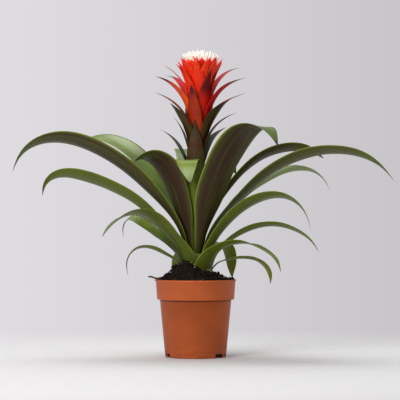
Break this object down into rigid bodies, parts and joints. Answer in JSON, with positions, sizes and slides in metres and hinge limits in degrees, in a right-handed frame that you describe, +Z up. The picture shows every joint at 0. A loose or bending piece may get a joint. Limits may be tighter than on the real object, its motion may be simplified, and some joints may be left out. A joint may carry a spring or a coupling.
{
  "type": "potted bromeliad",
  "caption": "Potted bromeliad: arching strap leaves in a rosette, a bract-clad flower stalk and a red bract head with pale florets, in a plastic nursery pot.",
  "frame": {"origin": "centre of the pot's flat underside, on the surface it stands on", "axes": "+Z up the flower stalk; +X to the plant's right, along its widest spread of leaves; -Y towards the front"},
  "size_m": [0.559, 0.3181, 0.457],
  "materials": {
    "pot_plastic": "moulded terracotta-coloured plastic, satin, lightly scuffed",
    "potting_mix": "moist dark peat crumbs, fully matt",
    "bark": "dark bark, matt",
    "stalk_tissue": "dark red-brown plant tissue, satin",
    "leaf_green": "waxy strap leaf, satin sheen on the upper side, duller olive below",
    "bract_brown": "brown-green sheathing bract, satin",
    "bract_ember": "orange-red bract with a dark maroon tip, satin",
    "bract_orange": "orange-red bract with a dark tip, satin",
    "bract_red": "bright red waxy bract, satin",
    "floret_cream": "cream-white floret tips over red florets, soft satin"
  },
  "bodies": {
    "root": {"pot": "pot_plastic", "soil": "potting_mix", "stalk": "stalk_tissue", "bark_sliver": "bark", "leaf_front_upright": "leaf_green", "leaf_back_inner": "leaf_green", "leaf_left_inner": "leaf_green", "leaf_right_broad": "leaf_green", "leaf_right_high": "leaf_green", "leaf_back_high": "leaf_green", "leaf_left_high": "leaf_green", "leaf_right_long": "leaf_green", "leaf_left_long": "leaf_green", "leaf_back_right": "leaf_green", "leaf_back_left": "leaf_green", "leaf_right_middle": "leaf_green", "leaf_right_hanging": "leaf_green", "leaf_left_middle": "leaf_green", "leaf_back_low": "leaf_green", "leaf_left_broad": "leaf_green", "leaf_left_curled": "leaf_green", "leaf_right_low": "leaf_green", "leaf_right_behind": "leaf_green", "leaf_left_low": "leaf_green", "leaf_front_low": "leaf_green", "leaf_right_lowest": "leaf_green", "leaf_back_lowest": "leaf_green", "sheath_back_low": "bract_brown", "sheath_front_low": "bract_brown", "sheath_left_low": "bract_brown", "sheath_right_low": "bract_brown", "sheath_left_middle": "bract_brown", "sheath_right_middle": "bract_brown", "sheath_back_middle": "bract_brown", "sheath_left_upper": "bract_brown", "sheath_back_right": "bract_brown", "sheath_right_broad": "bract_brown", "sheath_back_upper": "bract_brown", "sheath_front_upper": "bract_ember", "sheath_right_top": "bract_ember", "sheath_left_top": "bract_ember", "bract_back_right": "bract_red", "bract_left_orange": "bract_orange", "bract_left_thin": "bract_red", "bract_right_crimson": "bract_red", "bract_front_maroon": "bract_ember", "bract_back": "bract_red", "bract_left_red": "bract_red", "bract_right_red": "bract_red", "bract_left_tall": "bract_red", "bract_back_tall": "bract_red", "funnel_bract_1": "bract_red", "funnel_bract_2": "bract_red", "funnel_bract_3": "bract_red", "funnel_bract_4": "bract_red", "funnel_bract_5": "bract_red", "funnel_bract_6": "bract_red", "floret_dome": "floret_cream"}
  },
  "joints": []
}
